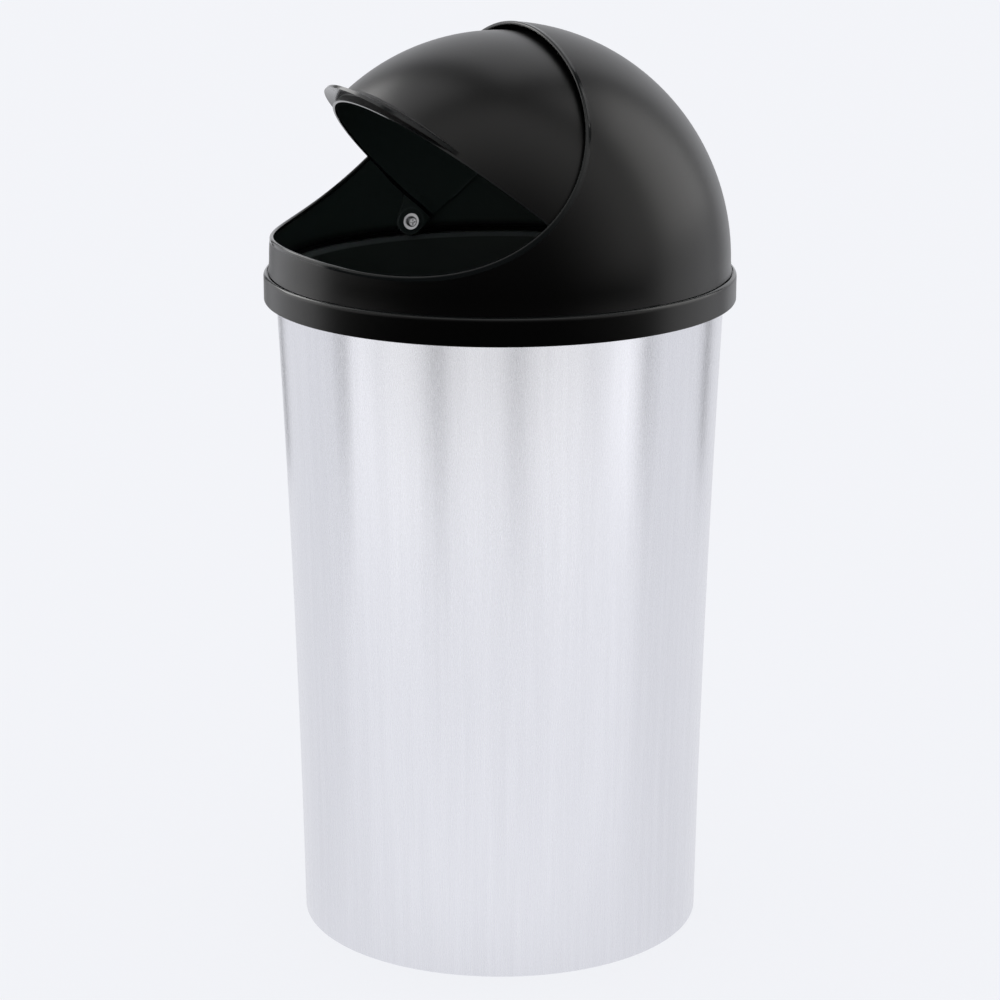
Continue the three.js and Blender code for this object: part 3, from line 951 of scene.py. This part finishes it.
def plated_steel():
    paint = Paint("plated steel")
    ring = paint.noise(900.0, detail=2.0)
    cloud = paint.noise(120.0, detail=2.0)
    colour = paint.between(cloud, (0.74, 0.74, 0.76), (0.86, 0.86, 0.87))
    return paint.finish(
        Base_Color=colour, Metallic=1.0, Roughness=0.45 + (cloud - 0.5) * 0.1,
        Normal=paint.bump(ring, 0.00002, 0.3))


def rubber():
    paint = Paint("black rubber")
    grain = paint.noise(1800.0, detail=3.0)
    cloud = paint.noise(40.0)
    colour = paint.between(cloud, (0.012, 0.012, 0.012), (0.022, 0.022, 0.021))
    return paint.finish(
        Base_Color=colour, Roughness=0.8 + (grain - 0.5) * 0.15,
        Normal=paint.bump(grain, 0.00006, 0.5))


def nylon():
    paint = Paint("natural nylon")
    grain = paint.noise(1500.0)
    cloud = paint.noise(60.0)
    colour = paint.between(cloud, (0.70, 0.69, 0.63), (0.80, 0.79, 0.74))
    return paint.finish(
        Base_Color=colour, Roughness=0.5 + (cloud - 0.5) * 0.1,
        Normal=paint.bump(grain, 0.00003, 0.3))


def dress(piece, material):
    piece.data.materials.clear()
    piece.data.materials.append(material)


# ---------- pieces on their bodies ----------

steel = brushed_steel()
# the inside colours below are painted fill light, the edge colours painted highlights
hood_black = moulded_black("satin black hood", BLACK, 0.34, 0.06, (
    (hood_inside, PAINTED_FILL_GREEN, 0.42), (hood_edges, EDGE_BLACK, 0.16)))
flap_black = moulded_black("satin black flap", BLACK, 0.34, 0.06, (
    (flap_inside, PAINTED_FILL_GREEN, 0.42), (flap_edges, EDGE_BLACK, 0.18),
    (flap_thin_edges, PAINTED_HIGHLIGHT_GREY, 0.25)))
tub_black = moulded_black("matte black tub", TUB_BLACK, 0.5, 0.08, (
    (tub_edges, PAINTED_HIGHLIGHT_GREY, 0.35),))
plated = plated_steel()
foot_rubber = rubber()
washer_nylon = nylon()


def fit(piece, node, body, material):
    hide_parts(node)
    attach(piece, body)
    dress(piece, material)


fit(make_sleeve(), "outer_sleeve", "bin_body", steel)
fit(make_tub(), "inner_tub", "bin_body", tub_black)
for number in range(1, 5):
    node = f"foot_pad_{number}"
    fit(make_foot(node), node, "bin_body", foot_rubber)
hood = make_hood()
fit(hood, "hood", "hood_body", hood_black)
flap = make_flap()
fit(flap, "flap", "flap_body", flap_black)
for side in (1, -1):
    name = side_name(side)
    washer = make_washer("screw_washer", side, SCREW_WASHER_RADIUS, SCREW_WASHER)
    fit(washer, f"screw_washer_{name}", "hood_body", plated)
    washer = make_washer("nylon_washer", side, FRICTION_WASHER_RADIUS, FRICTION_WASHER)
    fit(washer, f"friction_washer_{name}", "hood_body", washer_nylon)
    fit(make_screw(side), f"pivot_screw_{name}", "hood_body", plated)
dress(frame["nodes"]["base_plate"], tub_black)


# ---------- studio ----------

def studio_floor():
    bpy.ops.object.select_all(action="DESELECT")
    bpy.ops.mesh.primitive_plane_add(size=24, location=(0, 0, -0.0002))
    floor = bpy.context.object
    floor.name = "studio_floor"
    paint = Paint("pale floor")
    seen = seen_rays(paint)
    plain = paint.node("ShaderNodeBsdfDiffuse", values={"Color": (0.84, 0.85, 0.88, 1)})
    glow = paint.node("ShaderNodeEmission", values={"Color": PALE, "Strength": 1.022})
    mixed = paint.node("ShaderNodeMixShader", values={0: seen * 0.88, 1: plain, 2: glow})
    dark = paint.node("ShaderNodeEmission", values={"Color": (0, 0, 0, 1), "Strength": 0.0})
    hidden = front_floor(paint) * paint.node("ShaderNodeLightPath", out="Is Glossy Ray")
    mixed = paint.node("ShaderNodeMixShader", values={0: hidden, 1: mixed, 2: dark})
    paint.tree.links.new(mixed.socket, paint.output.inputs["Surface"])
    dress(floor, paint.material)


def front_floor(paint):
    """1 on the floor before the object, 0 beside and behind it."""
    return paint.span(paint.along(around(-6, 0)), 0.0, 350.0)


def steel_floor(metal):
    """The pale floor before the object, as only the steel reflects it."""
    bpy.ops.object.select_all(action="DESELECT")
    bpy.ops.mesh.primitive_plane_add(size=8, location=(0, 0, 0.0004))
    sheet = bpy.context.object
    sheet.name = "steel_floor"
    for kind in ("camera", "diffuse", "transmission", "volume_scatter", "shadow"):
        setattr(sheet, f"visible_{kind}", False)
    paint = Paint("pale floor for steel")
    clear = paint.node("ShaderNodeBsdfTransparent")
    glow = paint.node("ShaderNodeEmission", values={"Color": PALE, "Strength": 1.13})
    both = paint.node("ShaderNodeAddShader", values={0: clear, 1: glow})
    mixed = paint.node("ShaderNodeMixShader", values={0: front_floor(paint), 1: clear, 2: both})
    paint.tree.links.new(mixed.socket, paint.output.inputs["Surface"])
    dress(sheet, paint.material)
    sheet.light_linking.receiver_collection = metal


def seen_rays(paint):
    """1 for camera, glossy and transmission rays."""
    seen = paint.node("ShaderNodeLightPath", out="Is Camera Ray")
    for name in ("Is Glossy Ray", "Is Transmission Ray"):
        seen = seen.math("MAXIMUM", paint.node("ShaderNodeLightPath", out=name))
    return seen


def studio_world():
    world = bpy.data.worlds.new("studio")
    bpy.context.scene.world = world
    world.use_nodes = True
    tree = world.node_tree
    background = tree.nodes["Background"]
    background.inputs["Color"].default_value = PALE
    background.inputs["Strength"].default_value = 1.0


def around(azimuth, elevation):
    """A direction from the object; azimuth is turned from the camera's, to its right."""
    a = math.radians(CAMERA_AZIMUTH + azimuth)
    e = math.radians(elevation)
    return Vector((math.sin(a) * math.cos(e), -math.cos(a) * math.cos(e), math.sin(e)))


def softbox(name, azimuth, elevation, distance, size, glow, group=None, aim=(0, 0, 0.45)):
    """A panel that faces the object and may light one group alone. A glow of 1 looks white."""
    light = bpy.data.lights.new(name, "AREA")
    light.shape = "RECTANGLE"
    light.size, light.size_y = size
    light.energy = glow * math.pi * size[0] * size[1]
    lamp = bpy.data.objects.new(name, light)
    bpy.context.scene.collection.objects.link(lamp)
    ray = around(azimuth, elevation)
    lamp.location = Vector(aim) + ray * distance
    lamp.rotation_euler = (-ray).to_track_quat("-Z", "Y").to_euler()
    if group is not None:
        lamp.light_linking.receiver_collection = group
    return lamp


def lit_group(name, pieces):
    group = bpy.data.collections.new(name)
    for piece in pieces:
        group.objects.link(piece)
    return group


def scrim():
    """A dark screen before the object, thinning out to its sides and top."""
    bpy.ops.object.select_all(action="DESELECT")
    bpy.ops.mesh.primitive_uv_sphere_add(segments=48, ring_count=24, radius=SCRIM_RADIUS)
    screen = bpy.context.object
    screen.name = "dark_scrim"
    screen.visible_camera = False
    screen.visible_diffuse = False
    paint = Paint("dark scrim")
    place = paint.node("ShaderNodeTexCoord", out="Object")
    facing = paint.dot(place, around(-6, 14) / SCRIM_RADIUS)
    core, fringe = math.radians(30), math.radians(78)
    open_part = paint.node("ShaderNodeMapRange", {"interpolation_type": "SMOOTHSTEP"}, {
        "Value": facing, "From Min": math.cos(core), "From Max": math.cos(fringe),
        "To Min": 0.02, "To Max": 1.0})
    for bar_azimuth in DARK_BARS:
        away = around(bar_azimuth, 0)
        aside = paint.dot(place, Vector((-away.y, away.x, 0)))
        beside = paint.span(aside.math("ABSOLUTE"), 0.07, 0.09)
        behind = paint.span(paint.dot(place, away), 0.1, -0.1)
        open_part = open_part * beside.math("MAXIMUM", behind)
    clear = paint.node("ShaderNodeBsdfTransparent")
    dark = paint.node("ShaderNodeBsdfDiffuse", values={"Color": (0.0, 0.0, 0.0, 1)})
    mixed = paint.node("ShaderNodeMixShader", values={0: open_part, 1: dark, 2: clear})
    paint.tree.links.new(mixed.socket, paint.output.inputs["Surface"])
    dress(screen, paint.material)


def camera():
    a = math.radians(CAMERA_AZIMUTH)
    lens = bpy.data.cameras.new("camera")
    lens.lens = CAMERA_LENS
    lens.sensor_width = 36
    eye = bpy.data.objects.new("camera", lens)
    bpy.context.scene.collection.objects.link(eye)
    eye.location = (CAMERA_DISTANCE * math.sin(a), -CAMERA_DISTANCE * math.cos(a), CAMERA_HEIGHT)
    eye.rotation_euler = (math.radians(90 - CAMERA_PITCH), 0, a)
    bpy.context.scene.camera = eye


studio_floor()
studio_world()
scrim()
metal = lit_group("metal", [o for o in bpy.data.objects if o.name.startswith("steel_")])
steel_floor(metal)
plastic = lit_group("plastic", [hood, flap])
softbox("left panel", -112, 18, 2.4, (1.6, 2.0), 0.5, plastic)
softbox("right panel", 108, 30, 2.4, (2.0, 2.0), 0.8, plastic)
for number, (start, end, glow) in enumerate(STEEL_PANELS):
    width = 2 * STEEL_PANEL_DISTANCE * math.tan(math.radians(end - start) / 2)
    softbox(
        f"steel panel {number + 1}", (start + end) / 2, 0, STEEL_PANEL_DISTANCE, (width, 1.9), glow,
        metal, (0, 0, 0.35))
plating = lit_group(
    "plating", [o for o in bpy.data.objects if o.name.startswith(("screw_", "shoulder_"))])
for side in (-1, 1):
    lamp = softbox(f"pivot panel {side_name(side)}", 0, 0, 0, (0.24, 0.24), 0.5, plating)
    toward = Vector((-side * 0.886, 0.43, -0.17))
    lamp.location = Vector((side * HEAD[0], 0, PIVOT_Z)) * MM + toward * 0.2
    lamp.rotation_euler = (-toward).to_track_quat("-Z", "Y").to_euler()
    lamp.light_linking.blocker_collection = plating
softbox("edge panel", -135, 35, 1.4, (0.5, 0.5), 2.2, plastic)
camera()
bpy.context.scene.view_settings.view_transform = "Standard"
